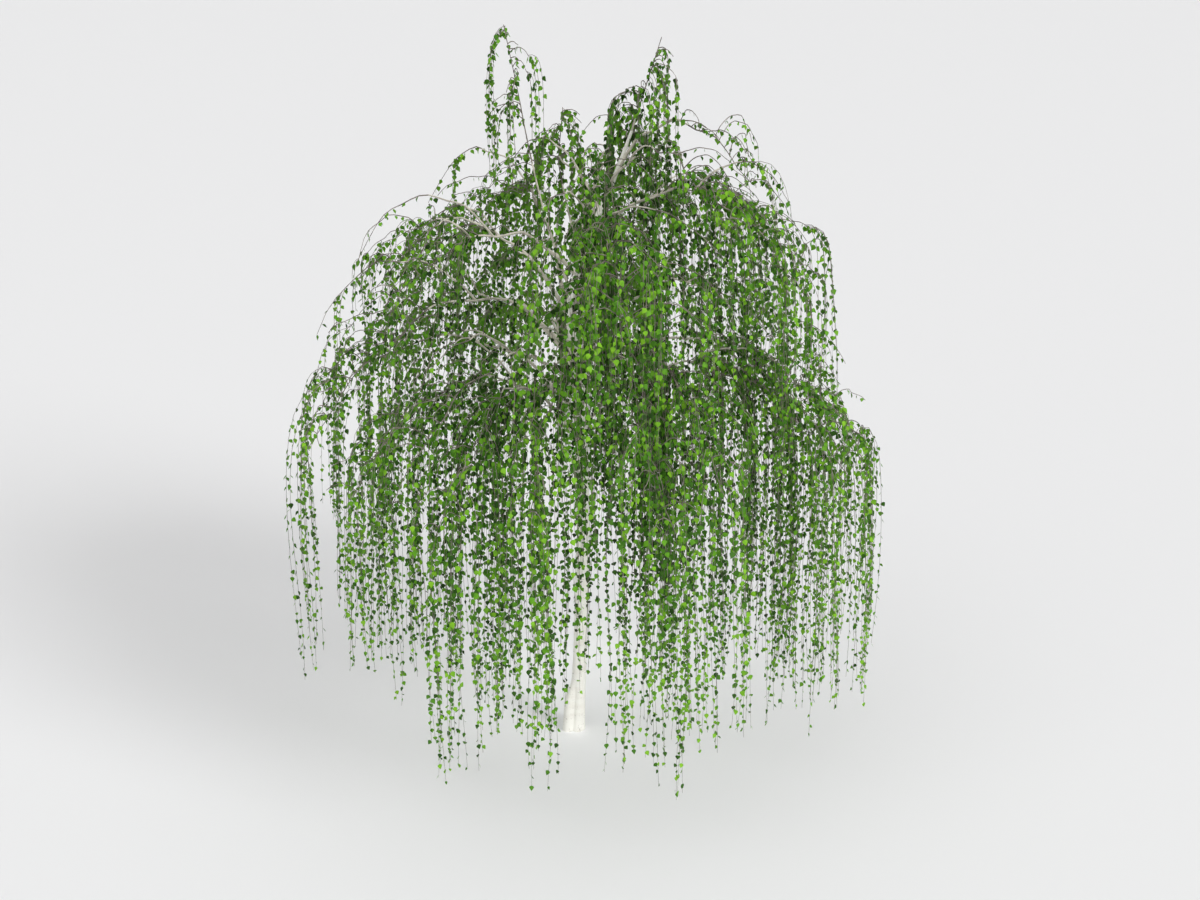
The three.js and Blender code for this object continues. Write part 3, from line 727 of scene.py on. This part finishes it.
def trunk_piece(material):
    """The trunk, with the side root and the grooves beside it, and the bark's relief."""
    height = TRUNK_COURSE[-1][2] * np.linspace(0, 1, TRUNK_RINGS) ** 1.25
    turn = np.linspace(0, 2 * math.pi, TRUNK_SIDES, endpoint=False)
    rings, turns = np.meshgrid(height, turn, indexing="ij")
    off = (np.degrees(turns) - SIDE_ROOT["azimuth"] + 180) % 360 - 180
    rise = 1 / (1 + np.exp((rings - SIDE_ROOT["height"]) / SIDE_ROOT["fade"]))
    root = SIDE_ROOT["depth"] * np.exp(-((off / SIDE_ROOT["width"]) ** 4)) * rise
    groove_off = (np.abs(off) - ROOT_GROOVE["off"]) / ROOT_GROOVE["width"]
    groove = ROOT_GROOVE["depth"] * np.exp(-(groove_off**2)) * rise
    radius = trunk_radius(rings) + root - groove
    radius = radius + trunk_relief(height, turn) * np.minimum(1, radius / 0.05)
    around = np.stack([np.cos(turns), np.sin(turns)], axis=-1)
    places = level_place(TRUNK_LINE, rings) + radius[:, :, None] * around
    vertices = np.concatenate([places, rings[:, :, None]], axis=-1).reshape(-1, 3)
    quads = ring_quads(1, TRUNK_RINGS, TRUNK_SIDES)
    piece = add_piece("trunk_bark", vertices, quads, [material])
    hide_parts("trunk")


def outer_faces(count, rings, sides, share):
    """1 for the faces of a tube beyond a share of its length and 0 for the others."""
    beyond = np.arange(rings - 1) >= share * rings
    return np.tile(np.repeat(beyond, sides), count)


def limb_pieces(masses, materials):
    """Every limb from the trunk to its end, tapering, as one piece."""
    share = np.linspace(0, 1, LIMB_RINGS)
    lines, radii = [], []
    for mass in masses:
        start = BOUGH_RADIUS.get(mass["tier"], BOUGH_RADIUS["leader"])
        if mass["line"] is mass["stem"]:
            start = TRUNK_RADIUS["tip"]
        lines.append(resample(mass["line"], share))
        radii.append(start * (1 - share) ** 1.7 + STEM_END_RADIUS * share)
    vertices, quads = tubes(lines, radii, LIMB_SIDES, NEARLY_UP)
    knots = np.array([noise.noise(Vector(v) * 14) for v in vertices])
    centres = np.repeat(np.array(lines).reshape(-1, 3), LIMB_SIDES, axis=0)
    vertices = centres + (vertices - centres) * (1 + 0.16 * knots[:, None])
    outer = outer_faces(len(lines), LIMB_RINGS, LIMB_SIDES, YOUNG_FROM["limb"])
    piece = add_piece("limbs", vertices, quads, materials, outer)
    names = [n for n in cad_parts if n.startswith(("bough", "leader"))]
    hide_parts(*names)


def fork_piece(forks, materials):
    """The strong first side shoots of the masses, as one piece."""
    share = np.linspace(0, 1, forks.shape[1])
    radii = np.broadcast_to(FORK_RADIUS * (1 - share) ** 1.3 + 0.002, forks.shape[:2])
    vertices, quads = tubes(forks, radii, FORK_SIDES, NEARLY_UP)
    outer = outer_faces(*forks.shape[:2], FORK_SIDES, YOUNG_FROM["fork"])
    add_piece("forks", vertices, quads, materials, outer)


def shoot_piece(kind, lines, sides, corner, material):
    """All shoots of one kind, tapering evenly from root to end."""
    radii = np.broadcast_to(np.linspace(*SHOOT_RADII[kind], lines.shape[1]), lines.shape[:2])
    vertices, quads = tubes(lines, radii, sides, corner)
    add_piece(f"{kind}_shoots", vertices, quads, [material])


def leaf_tints(feet, rng):
    """A tint for each leaf, the same within a spray: partly at random, and the deeper in the crown, the
    darker as a rule, which is painted shade.
    """
    out = np.linalg.norm(feet[:, :2] - level_place(TRUNK_LINE, feet[:, 2]), axis=1)
    share = out / np.interp(feet[:, 2], CROWN_PROFILE["height"], CROWN_PROFILE["radius"])
    first = np.arange(len(feet)) // SPRAY_LEAVES * SPRAY_LEAVES
    # Painted shade: depth in the crown pushes a spray towards the darker tints, and chance does the rest.
    shade = (1 - np.clip(share[first], 0, 1)) * PAINTED_SHADE_DEPTH + rng.uniform(0, 1, len(feet))[first]
    order = np.argsort(np.argsort(shade[::SPRAY_LEAVES]))
    tint = order * len(GREENS) // len(order)
    return np.repeat(tint, SPRAY_LEAVES)[: len(feet)]


def leaf_pieces(forks, sides, hanging, materials):
    """All leaves, tinted by spray with painted shade deeper in the crown, cut into pieces of no more than
    PIECE_TRIANGLES.
    """
    rng = np.random.default_rng(7)
    feet, outs, shares = leaf_places(hanging, rng)
    sizes = LEAF_LENGTH * rng.uniform(*LEAF_SIZES["hanging"], len(feet)) * (1 - 0.25 * shares**3)
    more_feet, more_outs, _ = leaf_places([*sides, *forks[:, FORK_BARE_POINTS:]], rng)
    feet = np.concatenate([feet, more_feet])
    outs = np.concatenate([outs, more_outs])
    tint = leaf_tints(feet, rng)
    sizes = np.concatenate([sizes, LEAF_LENGTH * rng.uniform(*LEAF_SIZES["side"], len(more_feet))])
    vertices, faces = leaf_mesh(feet, outs, sizes, rng)
    leaf_faces = len(faces) // len(feet)
    leaf_vertices = len(vertices) // len(feet)
    per_piece = PIECE_TRIANGLES // leaf_faces
    masses = [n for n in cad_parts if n.startswith(("curtain", "plume"))]
    for number, start in enumerate(range(0, len(feet), per_piece), 1):
        stop = min(start + per_piece, len(feet))
        part = add_piece(
            f"leaves_{number}",
            vertices[start * leaf_vertices : stop * leaf_vertices],
            faces[start * leaf_faces : stop * leaf_faces] - start * leaf_vertices,
            materials,
            np.repeat(tint[start:stop], leaf_faces),
        )
        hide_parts(*masses)


# ---- Studio ----
def add_floor():
    bpy.ops.mesh.primitive_plane_add(size=FLOOR["size"], location=(0, 0, 0))
    floor = bpy.context.object
    floor.name = "studio_floor"
    material = bpy.data.materials.new("studio_floor")
    material.use_nodes = True
    shader = material.node_tree.nodes["Principled BSDF"]
    shader.inputs["Base Color"].default_value = FLOOR["colour"]
    shader.inputs["Roughness"].default_value = 0.9
    shader.inputs["Specular IOR Level"].default_value = 0.1
    floor.data.materials.append(material)


def add_world():
    world = bpy.data.worlds.new("studio")
    world.use_nodes = True
    sky = world.node_tree.nodes["Background"]
    sky.inputs["Color"].default_value = SKY["colour"]
    sky.inputs["Strength"].default_value = SKY["strength"]
    bpy.context.scene.world = world


def add_suns():
    for name, strength, softness, towards, casts in SUNS:
        sun = bpy.data.lights.new(name, "SUN")
        sun.energy = strength
        sun.angle = math.radians(softness)
        sun.use_shadow = casts
        light = bpy.data.objects.new(name, sun)
        light.rotation_euler = Vector(towards).to_track_quat("-Z", "Y").to_euler()
        bpy.context.collection.objects.link(light)


def add_under_lamp():
    """A soft lamp below the crown, which lifts the floor between the hanging shoots."""
    lamp = bpy.data.lights.new("under", "POINT")
    lamp.energy = UNDER_LAMP["energy"]
    lamp.shadow_soft_size = UNDER_LAMP["size"]
    lamp.use_shadow = False
    light = bpy.data.objects.new("under", lamp)
    light.location = UNDER_LAMP["place"]
    light.visible_camera = False
    bpy.context.collection.objects.link(light)


def add_camera():
    lens = bpy.data.cameras.new("camera")
    lens.sensor_width = CAMERA["sensor"]
    lens.lens = CAMERA["lens"]
    lens.clip_end = CAMERA["far"]
    camera = bpy.data.objects.new("camera", lens)
    camera.location = CAMERA["place"]
    camera.rotation_euler = (math.radians(CAMERA["tilt"]), 0, 0)
    bpy.context.collection.objects.link(camera)
    bpy.context.scene.camera = camera


def add_studio():
    add_camera()
    add_world()
    add_suns()
    add_under_lamp()
    add_floor()
    bpy.context.scene.view_settings.view_transform = "Standard"


def add_tree():
    white_bark = grown_material(
        "white_bark", bark_group(), {**WHITE_BARK, "Crack Height": CRACK_HEIGHT}, 0.5, 0.004
    )
    twigs = twig_group()
    limb_bark = grown_material("limb_bark", twigs, LIMB_BARK, 0.5, 0.003)
    shoot_bark = grown_material("shoot_bark", twigs, SHOOT_BARK, 0.3, 0.001)
    blade = leaf_blade_group()
    # One leaf material for each tint. The darker ones carry the painted shade deep in the crown.
    leaf_greens = [
        leaf_material(f"leaf_green_{i}", blade, fresh, deep) for i, (fresh, deep) in enumerate(GREENS, 1)
    ]
    masses = grow_masses()
    forks, sides, hanging = grow(masses)
    trunk_piece(white_bark)
    limb_pieces(masses, [limb_bark, shoot_bark])
    fork_piece(forks, [limb_bark, shoot_bark])
    shoot_piece("side", sides, 4, NEARLY_UP, shoot_bark)
    shoot_piece("hanging", hanging, 3, NEARLY_RIGHT, shoot_bark)
    leaf_pieces(forks, sides, hanging, leaf_greens)


add_studio()
add_tree()
